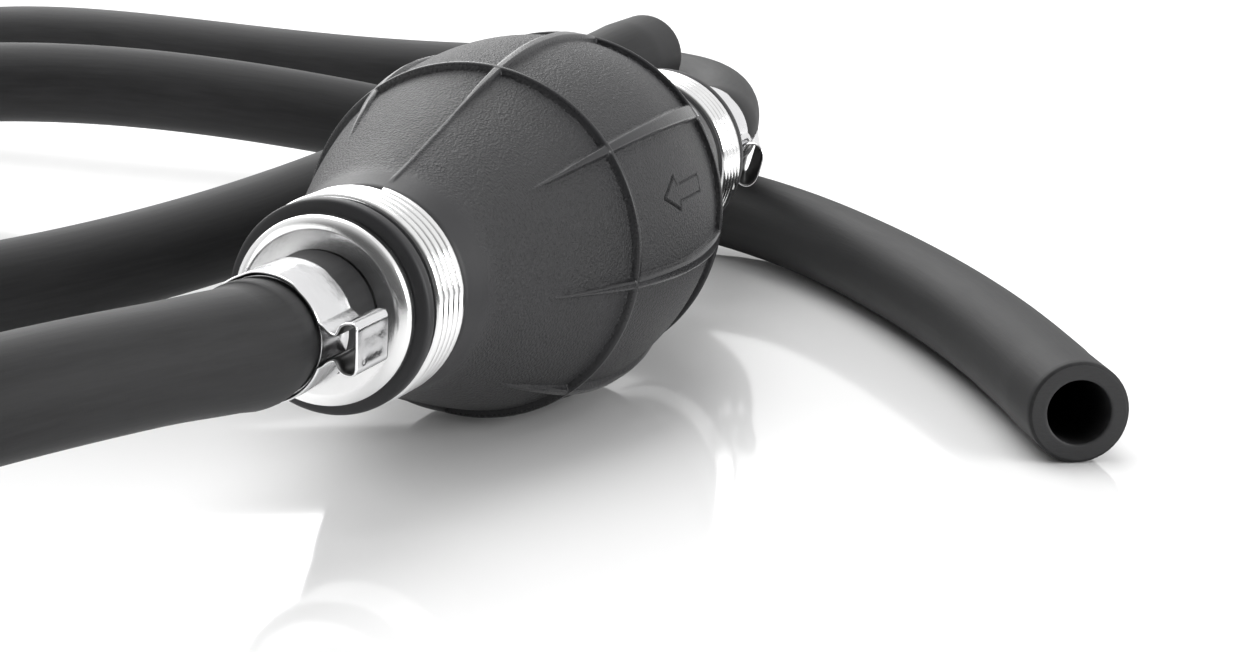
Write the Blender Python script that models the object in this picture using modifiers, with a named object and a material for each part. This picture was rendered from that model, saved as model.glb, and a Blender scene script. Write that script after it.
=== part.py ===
"""Siphon bulb pump: a rubber hand bulb with a one-way valve and a hose at each end.

The bulb's axis is horizontal, along X. Liquid flows from the inlet end at +X to the outlet end at -X.
The origin is on the surface that the bulb lies on, under its middle, and +Z is up.
"""

import math

import bmesh
import bpy
from mathutils import Vector

MM = 0.001
GAP = 0.3 * MM  # kept between pieces that touch on the real pump

# Hose: 14.5 mm outside and 10 mm inside.
HOSE_R = 7.25 * MM
HOSE_BORE_R = 5.0 * MM
HOSE_STEP = 2.3 * 2 * HOSE_R  # spacing of the points along a free hose
HOSE_STUB = 6.0 * MM
MOUTH_LENGTH = 12.0 * MM

# Bulb.
BELLY_R = 27.1 * MM
NECK_R = 12.4 * MM
NECK_BORE_R = 9.7 * MM
BULB_WALL = 3.5 * MM
BELLY_HALF = 62.0 * MM  # where the belly's curve would meet the neck
SHOULDER_X = 53.3 * MM  # where the curve stops, beside the seat of the wound clamp
LIP_R = 14.5 * MM
LIP_INNER_X = 63.9 * MM
LIP_OUTER_X = 66.1 * MM
CAVITY_HALF = 42.0 * MM
AXIS_Z = BELLY_R

# The two panels of the belly that stand for the rubber which the hand presses in.
PANEL_HALF_X = 26.0 * MM
PANEL_HALF_Z = 15.0 * MM

# Wound wire clamp round each neck.
WIRE_TURNS = 5
WIRE_PITCH = 1.84 * MM
WIRE_CREST_R = 14.5 * MM
WIRE_VALLEY_R = 13.9 * MM
WIRE_BORE_R = NECK_R + GAP

# Metal end fitting: sleeve in the neck, flange and barb.
SLEEVE_R = NECK_BORE_R - GAP
SLEEVE_BORE_R = 7.6 * MM
SLEEVE_INNER_X = 44.0 * MM
WEB_X = 64.8 * MM
FLANGE_R = 12.4 * MM
FLANGE_BACK_X = LIP_OUTER_X + GAP
FLANGE_FACE_X = 69.0 * MM
RIM_INNER_R = 10.8 * MM
RIM_HEIGHT = 0.3 * MM
BARB_R = 4.8 * MM
BARB_RIDGE_R = 5.3 * MM
BARB_BORE_R = 3.4 * MM
BARB_TIP_X = 88.4 * MM
BARB_RIDGES = (73.0 * MM, 78.2 * MM, 83.4 * MM)

# The hose's end where it is stretched over the barb.
CUFF_R = 7.4 * MM
CUFF_BORE_R = BARB_RIDGE_R + GAP
CUFF_INNER_X = FLANGE_FACE_X + GAP
CUFF_OUTER_X = 89.7 * MM

# Single-ear hose clamp.
BAND_THICKNESS = 0.6 * MM
BAND_WIDTH = 9.4 * MM
BAND_MID_R = CUFF_R + GAP + BAND_THICKNESS / 2
EAR_HEIGHT = 4.2 * MM
EAR_HALF_WIDTH = 3.3 * MM
EAR_FOOT_HALF_ANGLE = math.radians(20)

# Valve cartridge. Stations count downstream, towards -X, from the cartridge's upstream face.
SEAT_R = SLEEVE_BORE_R - GAP
SEAT_BORE_R = 3.6 * MM
SEAT_LENGTH = 3.0 * MM
SEAL_BORE_R = 3.5 * MM
SEAL_R = 5.3 * MM
SEAL_LENGTH = 1.2 * MM
POPPET_NOSE_R = 3.0 * MM
POPPET_NOSE_LENGTH = 3.4 * MM
POPPET_R = 5.5 * MM
POPPET_THICKNESS = 1.6 * MM
STEM_R = 1.4 * MM
STEM_END = 15.5 * MM
SPRING_MEAN_R = 3.4 * MM
SPRING_WIRE_R = 0.35 * MM
SPRING_TURNS = 4
RETAINER_START = 13.9 * MM
RETAINER_LENGTH = 2.0 * MM
RETAINER_GUIDE_R = 1.8 * MM
FLOW_HOLES = 4
FLOW_HOLE_R = 1.5 * MM
FLOW_HOLE_CIRCLE_R = 4.5 * MM
OUTLET_VALVE_X = -44.4 * MM
INLET_VALVE_X = 63.6 * MM

# Where each hose clamp sits and which way its ear points, from +Z towards -Y.
OUTLET_CLAMP_X = -80.6 * MM
INLET_CLAMP_X = 84.7 * MM
OUTLET_EAR_ANGLE = math.radians(94)
INLET_EAR_ANGLE = math.radians(106)

# Which way each cut end faces, from +X towards +Y.
OUTLET_MOUTH_HEADING = 0.0
INLET_MOUTH_HEADING = math.radians(208)

# Hose routes in millimetres, from the fitting to the mouth.
OUTLET_ROUTE = [
    (-90, 0, 27.1), (-98, 0.3, 27.5), (-111, 2.6, 28.6), (-125, 8, 28.9), (-141, 18, 27.2), (-158, 33, 23.2),
    (-174, 53, 17.6), (-186, 77, 12.2), (-193, 104, 8.6), (-194, 132, 7.3), (-187, 160, 7.3), (-171, 184, 7.3),
    (-148, 200, 7.3), (-120, 206, 7.3), (-92, 199, 7.3), (-70, 180, 7.4), (-57, 154, 8), (-50, 127, 9.6),
    (-42, 101, 12), (-28, 78, 14.9), (-8, 59, 18), (18, 46.5, 21.3), (43, 37, 26), (65, 28.5, 31),
    (82, 22, 34.8), (97, 18.8, 37.3),
]
INLET_ROUTE = [
    (90, 0, 27.1), (98, 0.3, 27.1), (111, 2.4, 27.2), (124, 7.2, 27.2), (136, 15, 27), (146.5, 26.5, 26.4),
    (153, 40.5, 25.2), (156, 57, 23.9), (156, 75, 23), (154, 96, 23.4), (152.5, 119, 24.6), (153, 143, 26),
    (155.5, 168, 26.6), (159, 193, 24.8), (161, 218, 19.8), (159, 243, 13.2), (151, 266, 8.7), (136, 285, 7.3),
    (115, 297, 7.3), (91, 298, 7.3), (69, 289, 7.5), (53, 272, 8.4), (44, 250, 11), (42, 225, 15.5),
    (45, 200, 21), (51, 175, 26.3), (59, 151, 30), (68, 128, 31.9), (77, 107, 30.6), (85.5, 87, 27.8),
    (95.5, 69, 23.8), (109, 54, 18.6), (121, 37.5, 12.6), (125.2, 19.5, 9), (119.6, -0.4, 7.4),
    (103, -16.2, 7.3), (81, -34.5, 7.3), (60.2, -49.6, 7.3), (38.9, -63.2, 7.3), (20.5, -73.4, 7.3),
    (5.4, -80.4, 7.3),
]

RUBBER = (0.035, 0.035, 0.037)
HOSE_RUBBER = (0.028, 0.028, 0.030)
CHROME = (0.80, 0.80, 0.81)
STEEL = (0.70, 0.70, 0.71)
PLASTIC = (0.82, 0.82, 0.79)
SEAL_RUBBER = (0.05, 0.05, 0.05)


def clear_scene():
    for old in list(bpy.data.objects):
        bpy.data.objects.remove(old, do_unlink=True)


def new_collection(name):
    collection = bpy.data.collections.new(name)
    bpy.context.scene.collection.children.link(collection)
    return collection


def new_material(name, colour, roughness, metallic=0.0):
    material = bpy.data.materials.new(name)
    material.use_nodes = True
    shader = material.node_tree.nodes["Principled BSDF"]
    shader.inputs["Base Color"].default_value = (*colour, 1.0)
    shader.inputs["Roughness"].default_value = roughness
    shader.inputs["Metallic"].default_value = metallic
    return material


def add_object(name, data, collection, material=None):
    piece = bpy.data.objects.new(name, data)
    collection.objects.link(piece)
    if material:
        data.materials.append(material)
    return piece


def signed_area(loop):
    return sum(a[0] * b[1] - b[0] * a[1] for a, b in zip(loop, loop[1:] + loop[:1])) / 2


def turned(name, profile, collection, material, steps=28, closed=True):
    """A turned solid about the bulb's axis, from (radius, x) points.

    A closed profile makes a ring. An open one starts and ends on the axis.
    """
    outline = list(profile)
    if signed_area(outline) > 0:
        outline.reverse()
    mesh = bpy.data.meshes.new(name)
    edges = [(i, i + 1) for i in range(len(outline) - 1)]
    if closed:
        edges.append((len(outline) - 1, 0))
    mesh.from_pydata([(r, 0.0, x) for r, x in outline], edges, [])
    piece = add_object(name, mesh, collection, material)
    screw = piece.modifiers.new("turn", "SCREW")
    screw.steps = steps
    screw.render_steps = steps
    screw.use_merge_vertices = True
    screw.merge_threshold = 0.00001
    screw.use_smooth_shade = True
    piece.location = (0.0, 0.0, AXIS_Z)
    piece.rotation_euler = (0.0, math.pi / 2, 0.0)
    return piece


def box(name, low, high, collection):
    """A rectangular cutter between two corners, in world coordinates."""
    mesh = bpy.data.meshes.new(name)
    shape = bmesh.new()
    bmesh.ops.create_cube(shape, size=1.0)
    for vertex in shape.verts:
        vertex.co = Vector(
            [low[i] + (vertex.co[i] + 0.5) * (high[i] - low[i]) for i in range(3)]
        )
    shape.to_mesh(mesh)
    shape.free()
    return hide_cutter(add_object(name, mesh, collection))


def hide_cutter(piece):
    piece.hide_render = True
    piece.display_type = "WIRE"
    return piece


def add_boolean(piece, cutter, operation):
    modifier = piece.modifiers.new(cutter.name, "BOOLEAN")
    modifier.operation = operation
    modifier.solver = "EXACT"
    modifier.object = cutter


def bulb_radius(x):
    """Outer radius of the belly, falling smoothly to the neck."""
    along = min(abs(x) / BELLY_HALF, 1.0)
    return NECK_R + (BELLY_R - NECK_R) * math.cos(along * math.pi / 2) ** 1.5


def bulb_profile():
    """Outline of the hollow bulb: belly, necks and end lips outside, cavity and neck bores inside."""
    outer_steps = 16
    outer = []
    for i in range(outer_steps + 1):
        x = SHOULDER_X * (2 * i / outer_steps - 1)
        outer.append((bulb_radius(x), x))
    lip = 0.5 * MM
    right_end = [
        (NECK_R, SHOULDER_X + lip), (NECK_R, LIP_INNER_X), (LIP_R, LIP_INNER_X),
        (LIP_R, LIP_OUTER_X - lip), (LIP_R - lip, LIP_OUTER_X), (NECK_BORE_R, LIP_OUTER_X),
    ]
    left_end = [(r, -x) for r, x in reversed(right_end)]
    cavity_steps = 10
    cavity = []
    for i in range(cavity_steps + 1):
        x = CAVITY_HALF * (1 - 2 * i / cavity_steps)
        cavity.append((max(bulb_radius(x) - BULB_WALL, NECK_BORE_R), x))
    return left_end[1:] + outer + right_end + cavity + left_end[:1]


def make_bulb(parts, cutters, material):
    profile = bulb_profile()
    big = 2 * BELLY_R
    shell = turned("squeeze_bulb", profile, parts, material, steps=40)
    half_gap = GAP / 2
    window = box(
        "panel_window",
        (-PANEL_HALF_X - half_gap, -big, AXIS_Z - PANEL_HALF_Z - half_gap),
        (PANEL_HALF_X + half_gap, big, AXIS_Z + PANEL_HALF_Z + half_gap),
        cutters,
    )
    add_boolean(shell, window, "DIFFERENCE")
    for name, y_low, y_high in (("front_squeeze_wall", -big, 0.0), ("back_squeeze_wall", 0.0, big)):
        panel = turned(name, profile, parts, material, steps=40)
        keep = box(
            name + "_limits",
            (-PANEL_HALF_X + half_gap, y_low, AXIS_Z - PANEL_HALF_Z + half_gap),
            (PANEL_HALF_X - half_gap, y_high, AXIS_Z + PANEL_HALF_Z - half_gap),
            cutters,
        )
        add_boolean(panel, keep, "INTERSECT")


def make_neck_clamp(name, side, parts, material):
    """Five turns of wire side by side, as one ring with a crest for each turn."""
    start = LIP_INNER_X - GAP - WIRE_TURNS * WIRE_PITCH
    outline = []
    for turn in range(WIRE_TURNS):
        x = start + turn * WIRE_PITCH
        outline.append((WIRE_VALLEY_R, x))
        outline.append((WIRE_CREST_R, x + 0.3 * WIRE_PITCH))
        outline.append((WIRE_CREST_R, x + 0.7 * WIRE_PITCH))
    end = start + WIRE_TURNS * WIRE_PITCH
    outline += [(WIRE_VALLEY_R, end), (WIRE_BORE_R, end), (WIRE_BORE_R, start)]
    turned(name, [(r, side * x) for r, x in outline], parts, material, steps=28)


def make_fitting(name, side, parts, material):
    """Sleeve, web, rimmed flange and ridged barb, bored through."""
    edge = 0.4 * MM
    outline = [
        (SLEEVE_BORE_R, SLEEVE_INNER_X), (SLEEVE_R, SLEEVE_INNER_X), (SLEEVE_R, FLANGE_BACK_X),
        (FLANGE_R - edge, FLANGE_BACK_X), (FLANGE_R, FLANGE_BACK_X + edge),
        (FLANGE_R, FLANGE_FACE_X - edge), (FLANGE_R - edge, FLANGE_FACE_X),
        (RIM_INNER_R, FLANGE_FACE_X), (RIM_INNER_R - edge, FLANGE_FACE_X - RIM_HEIGHT),
        (BARB_R, FLANGE_FACE_X - RIM_HEIGHT),
    ]
    ridge = 2.0 * MM
    for x in BARB_RIDGES:
        outline += [(BARB_R, x), (BARB_RIDGE_R, x), (BARB_R, x + ridge)]
    outline += [
        (BARB_R, BARB_TIP_X - edge), (BARB_R - edge, BARB_TIP_X), (BARB_BORE_R, BARB_TIP_X),
        (BARB_BORE_R, WEB_X), (SLEEVE_BORE_R, WEB_X),
    ]
    turned(name, [(r, side * x) for r, x in outline], parts, material, steps=28)


def ring_profile(bore, radius, low, high):
    return [(bore, low), (radius, low), (radius, high), (bore, high)]


def make_cuff(name, side, parts, material):
    profile = ring_profile(CUFF_BORE_R, CUFF_R, side * CUFF_INNER_X, side * CUFF_OUTER_X)
    turned(name, profile, parts, material, steps=32)


def clamp_path(ear_angle):
    """Closed mid-line of the band in the YZ plane: a circle with a raised ear, rounded at its corners."""

    def place(angle, radius):
        return (-radius * math.sin(angle), AXIS_Z + radius * math.cos(angle))

    band_steps = 30
    span = 2 * (math.pi - EAR_FOOT_HALF_ANGLE)
    path = []
    for i in range(band_steps + 1):
        path.append(place(ear_angle + EAR_FOOT_HALF_ANGLE + span * i / band_steps, BAND_MID_R))
    ear = [
        (-0.80, 0.28), (-0.98, 0.55), (-0.96, 0.80), (-0.70, 0.98),
        (0.70, 0.98), (0.96, 0.80), (0.98, 0.55), (0.80, 0.28),
    ]
    for across, up in ear:
        radius = BAND_MID_R + up * EAR_HEIGHT
        path.append(place(ear_angle + across * EAR_HALF_WIDTH / radius, radius))
    return path


def make_hose_clamp(name, x, ear_angle, parts, material):
    curve = bpy.data.curves.new(name, "CURVE")
    curve.dimensions = "2D"
    curve.fill_mode = "NONE"
    curve.extrude = BAND_WIDTH / 2
    path = clamp_path(ear_angle)
    spline = curve.splines.new("POLY")
    spline.points.add(len(path) - 1)
    for point, (y, z) in zip(spline.points, path):
        point.co = (-z, y, 0.0, 1.0)
    spline.use_cyclic_u = True
    clamp = add_object(name, curve, parts, material)
    clamp.location = (x, 0.0, 0.0)
    clamp.rotation_euler = (0.0, math.pi / 2, 0.0)
    solidify = clamp.modifiers.new("sheet thickness", "SOLIDIFY")
    solidify.thickness = BAND_THICKNESS
    solidify.offset = 0.0
    solidify.use_even_offset = True


def make_seat(name, face_x, parts, material):
    profile = ring_profile(SEAT_BORE_R, SEAT_R, face_x - SEAT_LENGTH, face_x)
    turned(name, profile, parts, material, steps=32)


def make_seal(name, face_x, parts, material):
    start = face_x - SEAT_LENGTH - GAP
    profile = ring_profile(SEAL_BORE_R, SEAL_R, start - SEAL_LENGTH, start)
    turned(name, profile, parts, material, steps=28)


def poppet_back(face_x):
    return face_x - SEAT_LENGTH - SEAL_LENGTH - 2 * GAP - POPPET_THICKNESS


def make_poppet(name, face_x, parts, material):
    back = poppet_back(face_x)
    front = back + POPPET_THICKNESS
    nose = front + POPPET_NOSE_LENGTH
    profile = [
        (0.0, nose), (POPPET_NOSE_R - 0.8 * MM, nose), (POPPET_NOSE_R, nose - 1.2 * MM),
        (POPPET_NOSE_R, front), (POPPET_R, front), (POPPET_R, back), (STEM_R, back),
        (STEM_R, face_x - STEM_END), (0.0, face_x - STEM_END),
    ]
    turned(name, profile, parts, material, steps=28, closed=False)


def tube(name, points, radius, parts, material, sides_setting):
    curve = bpy.data.curves.new(name, "CURVE")
    curve.dimensions = "3D"
    curve.bevel_depth = radius
    curve.bevel_resolution = sides_setting
    curve.use_fill_caps = True
    spline = curve.splines.new("POLY")
    spline.points.add(len(points) - 1)
    for point, place in zip(spline.points, points):
        point.co = (*place, 1.0)
    return add_object(name, curve, parts, material)


def make_spring(name, face_x, parts, material):
    """Open coil between the poppet's back and the retainer."""
    clear = GAP + SPRING_WIRE_R
    start = poppet_back(face_x) - clear
    end = face_x - RETAINER_START + clear
    points_per_turn = 10
    count = SPRING_TURNS * points_per_turn
    points = []
    for i in range(count + 1):
        angle = 2 * math.pi * i / points_per_turn
        points.append((
            start + (end - start) * i / count,
            SPRING_MEAN_R * math.sin(angle),
            AXIS_Z + SPRING_MEAN_R * math.cos(angle),
        ))
    tube(name, points, SPRING_WIRE_R, parts, material, 1)


def make_retainer(name, face_x, parts, cutters, material):
    """Disc that guides the stem and backs the spring, with holes for the flow."""
    start = face_x - RETAINER_START
    profile = ring_profile(RETAINER_GUIDE_R, SEAT_R, start - RETAINER_LENGTH, start)
    disc = turned(name, profile, parts, material, steps=32)
    for i in range(FLOW_HOLES):
        angle = math.pi / 4 + 2 * math.pi * i / FLOW_HOLES
        mesh = bpy.data.meshes.new(f"{name}_hole_{i}")
        shape = bmesh.new()
        bmesh.ops.create_cone(
            shape, cap_ends=True, segments=16, radius1=FLOW_HOLE_R, radius2=FLOW_HOLE_R,
            depth=3 * RETAINER_LENGTH,
        )
        shape.to_mesh(mesh)
        shape.free()
        hole = hide_cutter(add_object(mesh.name, mesh, cutters))
        hole.location = (
            start - RETAINER_LENGTH / 2,
            FLOW_HOLE_CIRCLE_R * math.sin(angle),
            AXIS_Z + FLOW_HOLE_CIRCLE_R * math.cos(angle),
        )
        hole.rotation_euler = (0.0, math.pi / 2, 0.0)
        add_boolean(disc, hole, "DIFFERENCE")


def make_valve(end, face_x, parts, cutters, materials):
    make_seat(end + "_valve_seat", face_x, parts, materials["steel"])
    make_seal(end + "_valve_seal", face_x, parts, materials["seal"])
    make_poppet(end + "_valve_poppet", face_x, parts, materials["plastic"])
    make_spring(end + "_valve_spring", face_x, parts, materials["steel"])
    make_retainer(end + "_valve_retainer", face_x, parts, cutters, materials["plastic"])


def smooth_curve(route, steps=24):
    """Points on a Catmull-Rom curve through the route."""
    points = [Vector(place) * MM for place in route]
    points = [2 * points[0] - points[1]] + points + [2 * points[-1] - points[-2]]
    curve = []
    for a, b, c, d in zip(points, points[1:], points[2:], points[3:]):
        for i in range(steps):
            t = i / steps
            curve.append(0.5 * (
                2 * b + (c - a) * t + (2 * a - 5 * b + 4 * c - d) * t ** 2
                + (3 * b - a - 3 * c + d) * t ** 3
            ))
    curve.append(points[-2])
    return curve


def spaced_points(curve, spacing):
    """About evenly spaced points along the curve, with its two ends."""
    lengths = [0.0]
    for a, b in zip(curve, curve[1:]):
        lengths.append(lengths[-1] + (b - a).length)
    count = round(lengths[-1] / spacing)
    points = []
    i = 0
    for n in range(count + 1):
        wanted = lengths[-1] * n / count
        while i < len(curve) - 2 and lengths[i + 1] < wanted:
            i += 1
        share = (wanted - lengths[i]) / (lengths[i + 1] - lengths[i])
        points.append(curve[i].lerp(curve[i + 1], share))
    return points


def make_hose(end, side, route, mouth_heading, parts, material):
    """The free hose as a plain tube, then a hollow mouth at its cut end."""
    outward = Vector((math.cos(mouth_heading), math.sin(mouth_heading), 0.0))
    points = spaced_points(smooth_curve(route), HOSE_STEP)
    # A short straight stretch squares each end of the tube to the piece that it meets.
    points.insert(1, points[0] + Vector((side * HOSE_STUB, 0.0, 0.0)))
    points.insert(-1, points[-1] - outward * HOSE_STUB)
    tube(end + "_hose", points, HOSE_R, parts, material, 2)
    mouth = turned(
        end + "_hose_mouth",
        ring_profile(HOSE_BORE_R, HOSE_R, GAP, GAP + MOUTH_LENGTH),
        parts, material, steps=24,
    )
    mouth.location = points[-1]
    mouth.rotation_euler = (0.0, math.pi / 2, mouth_heading)


def build():
    clear_scene()
    parts = new_collection("siphon_bulb_pump")
    cutters = new_collection("cutters")
    materials = {
        "bulb": new_material("bulb_rubber", RUBBER, 0.62),
        "hose": new_material("hose_rubber", HOSE_RUBBER, 0.45),
        "chrome": new_material("nickel_plate", CHROME, 0.12, 1.0),
        "steel": new_material("stainless_steel", STEEL, 0.25, 1.0),
        "plastic": new_material("valve_plastic", PLASTIC, 0.4),
        "seal": new_material("seal_rubber", SEAL_RUBBER, 0.5),
    }
    make_bulb(parts, cutters, materials["bulb"])
    ends = (
        ("outlet", -1, OUTLET_VALVE_X, OUTLET_CLAMP_X, OUTLET_EAR_ANGLE),
        ("inlet", 1, INLET_VALVE_X, INLET_CLAMP_X, INLET_EAR_ANGLE),
    )
    for end, side, valve_x, clamp_x, ear_angle in ends:
        make_fitting(end + "_end_fitting", side, parts, materials["chrome"])
        make_neck_clamp(end + "_neck_wire_clamp", side, parts, materials["steel"])
        make_cuff(end + "_hose_cuff", side, parts, materials["hose"])
        make_hose_clamp(end + "_hose_clamp", clamp_x, ear_angle, parts, materials["steel"])
        make_valve(end, valve_x, parts, cutters, materials)
    make_hose("outlet", -1, OUTLET_ROUTE, OUTLET_MOUTH_HEADING, parts, materials["hose"])
    make_hose("inlet", 1, INLET_ROUTE, INLET_MOUTH_HEADING, parts, materials["hose"])


build()
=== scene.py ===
"""Looks of the siphon bulb pump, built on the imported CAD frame. Metres, in the CAD's own frame."""

import math

import bmesh
import bpy
import numpy as np
from mathutils import Matrix, Vector


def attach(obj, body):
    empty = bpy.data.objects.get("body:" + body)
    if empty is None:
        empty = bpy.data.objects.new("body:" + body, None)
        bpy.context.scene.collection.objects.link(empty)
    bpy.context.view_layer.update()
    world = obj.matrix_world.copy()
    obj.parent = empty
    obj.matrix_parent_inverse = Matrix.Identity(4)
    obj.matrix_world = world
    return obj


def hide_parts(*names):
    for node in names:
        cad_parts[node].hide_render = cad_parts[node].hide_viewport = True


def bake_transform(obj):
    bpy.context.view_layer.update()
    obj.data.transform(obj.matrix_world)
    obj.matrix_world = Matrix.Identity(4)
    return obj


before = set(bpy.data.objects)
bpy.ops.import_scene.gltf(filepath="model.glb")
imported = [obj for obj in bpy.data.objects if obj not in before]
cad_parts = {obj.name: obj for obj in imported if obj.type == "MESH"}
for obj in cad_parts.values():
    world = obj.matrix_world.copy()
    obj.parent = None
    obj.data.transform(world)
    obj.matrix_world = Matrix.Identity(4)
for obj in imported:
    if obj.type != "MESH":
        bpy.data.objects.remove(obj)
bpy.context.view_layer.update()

MM = 0.001
AXIS_HEIGHT = 27.1  # of the bulb's axis over the floor, in millimetres
FLOOR_GAP = 0.15  # the lowest that a visible surface comes to the floor, in millimetres


# ---------------------------------------------------------------- camera

CAMERA_PLACE = (-0.4071, -0.16223, 0.11114)
CAMERA_FORWARD = (0.9204, 0.329, -0.2113)
CAMERA_RIGHT = (0.3391, -0.9407, 0.0123)


def add_camera():
    data = bpy.data.cameras.new("camera")
    data.sensor_width = 36.0
    data.lens = 86.6
    data.shift_y = -0.0284
    data.clip_start = 0.01
    camera = bpy.data.objects.new("camera", data)
    bpy.context.scene.collection.objects.link(camera)
    forward = Vector(CAMERA_FORWARD).normalized()
    right = Vector(CAMERA_RIGHT)
    right = (right - forward * right.dot(forward)).normalized()
    up = right.cross(forward)
    turn = Matrix((right, up, -forward)).transposed().to_4x4()
    camera.matrix_world = Matrix.Translation(CAMERA_PLACE) @ turn
    bpy.context.scene.camera = camera


add_camera()


# ---------------------------------------------------------------- materials

def new_material(name, colour, roughness, metallic=0.0, specular=0.5):
    """A Principled material with plain values, which textures then vary."""
    material = bpy.data.materials.new(name)
    material.use_nodes = True
    shader = material.node_tree.nodes["Principled BSDF"]
    shader.inputs["Base Color"].default_value = (*colour, 1.0)
    shader.inputs["Roughness"].default_value = roughness
    shader.inputs["Metallic"].default_value = metallic
    shader.inputs["Specular IOR Level"].default_value = specular
    return material


def add_node(material, kind, **settings):
    """A shader node. Each setting is the value of the input with that name, or an attribute of the node."""
    node = material.node_tree.nodes.new(kind)
    for key, value in settings.items():
        if key in node.inputs:
            node.inputs[key].default_value = value
        else:
            setattr(node, key, value)
    return node


def link(material, source, target):
    material.node_tree.links.new(source, target)


def object_place(material, stretch=None):
    """The object's own coordinates in metres, with an optional stretch along each axis."""
    coordinates = add_node(material, "ShaderNodeTexCoord").outputs["Object"]
    if stretch is None:
        return coordinates
    mapping = add_node(material, "ShaderNodeMapping")
    mapping.inputs["Scale"].default_value = stretch
    link(material, coordinates, mapping.inputs["Vector"])
    return mapping.outputs["Vector"]


def noise(material, place, scale, detail=3.0, roughness=0.5):
    node = add_node(material, "ShaderNodeTexNoise", Scale=scale, Detail=detail, Roughness=roughness)
    link(material, place, node.inputs["Vector"])
    return node.outputs["Fac"]


def remap(material, value, low, high, to_low, to_high):
    """Maps low..high to to_low..to_high, clamped."""
    node = add_node(material, "ShaderNodeMapRange")
    for i, number in enumerate((low, high, to_low, to_high)):
        node.inputs[i + 1].default_value = number
    link(material, value, node.inputs[0])
    return node.outputs[0]


def mix_colour(material, factor, low, high):
    ramp = add_node(material, "ShaderNodeValToRGB")
    ramp.color_ramp.elements[0].color = (*low, 1.0)
    ramp.color_ramp.elements[1].color = (*high, 1.0)
    link(material, factor, ramp.inputs["Fac"])
    return ramp.outputs["Color"]


def add_values(material, a, b):
    node = add_node(material, "ShaderNodeMath", operation="ADD")
    link(material, a, node.inputs[0])
    link(material, b, node.inputs[1])
    return node.outputs[0]


def multiply(material, value, by):
    node = add_node(material, "ShaderNodeMath", operation="MULTIPLY")
    link(material, value, node.inputs[0])
    if isinstance(by, (int, float)):
        node.inputs[1].default_value = by
    else:
        link(material, by, node.inputs[1])
    return node.outputs[0]


def connect(material, name, output):
    """Feeds one input of the material's Principled shader."""
    link(material, output, material.node_tree.nodes["Principled BSDF"].inputs[name])


def bump(material, height, distance, strength=1.0):
    node = add_node(material, "ShaderNodeBump", Strength=strength, Distance=distance)
    link(material, height, node.inputs["Height"])
    connect(material, "Normal", node.outputs["Normal"])


def bulb_rubber():
    """Matt black rubber with a leather grain, which stops short of the smooth necks and ridges."""
    material = new_material("bulb_rubber_skin", (0.018, 0.018, 0.019), 0.5, specular=0.36)
    place = object_place(material)
    cells = add_node(material, "ShaderNodeTexVoronoi", Scale=2600.0, feature="SMOOTH_F1")
    cells.inputs["Smoothness"].default_value = 0.6
    link(material, place, cells.inputs["Vector"])
    fine = noise(material, place, 3800.0, 2.0, 0.6)
    grain = add_values(material, multiply(material, cells.outputs["Distance"], 0.9), fine)
    mask = add_node(material, "ShaderNodeAttribute", attribute_name="grain").outputs["Fac"]
    bump(material, multiply(material, grain, mask), 0.00022, 1.0)
    cloud = noise(material, place, 45.0, 4.0, 0.55)
    connect(material, "Base Color", mix_colour(
        material, remap(material, cloud, 0.35, 0.7, 0.0, 1.0), (0.014, 0.014, 0.015), (0.022, 0.022, 0.024)))
    rough = add_values(
        material, remap(material, cloud, 0.3, 0.7, 0.46, 0.54), remap(material, grain, 0.3, 1.2, 0.03, -0.04))
    ridges = add_node(material, "ShaderNodeAttribute", attribute_name="ridge").outputs["Fac"]
    rough = add_values(material, rough, multiply(material, ridges, -0.2))
    connect(material, "Roughness", rough)
    return material


def hose_rubber():
    """Satin black rubber with faint lengthwise drag marks and a light bloom of dust."""
    material = new_material("hose_rubber_satin", (0.013, 0.013, 0.014), 0.6, specular=0.26)
    place = object_place(material)
    along = add_node(material, "ShaderNodeAttribute", attribute_name="hose_place").outputs["Vector"]
    streaks = noise(material, along, 9.0, 4.0, 0.6)
    speck = noise(material, place, 900.0, 3.0, 0.6)
    bloom = noise(material, place, 35.0, 3.0, 0.55)
    tone = add_values(material, multiply(material, streaks, 0.6), multiply(material, bloom, 0.4))
    connect(material, "Base Color", mix_colour(
        material, remap(material, tone, 0.35, 0.68, 0.0, 1.0), (0.011, 0.011, 0.0115), (0.023, 0.023, 0.024)))
    connect(material, "Roughness", remap(material, tone, 0.3, 0.7, 0.56, 0.68))
    height = add_values(material, multiply(material, streaks, 0.7), multiply(material, speck, 0.25))
    bump(material, height, 0.00008, 0.6)
    return material


def cut_rubber():
    """Freshly cut rubber on the end of a hose: plain and duller, with knife marks."""
    material = new_material("hose_rubber_cut", (0.014, 0.014, 0.015), 0.6)
    place = object_place(material, (1.0, 1.0, 5.0))
    marks = noise(material, place, 500.0, 3.0, 0.6)
    bump(material, marks, 0.0001, 0.7)
    connect(material, "Roughness", remap(material, marks, 0.3, 0.7, 0.5, 0.66))
    connect(material, "Base Color", mix_colour(material, marks, (0.011, 0.011, 0.012), (0.018, 0.018, 0.019)))
    return material


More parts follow.
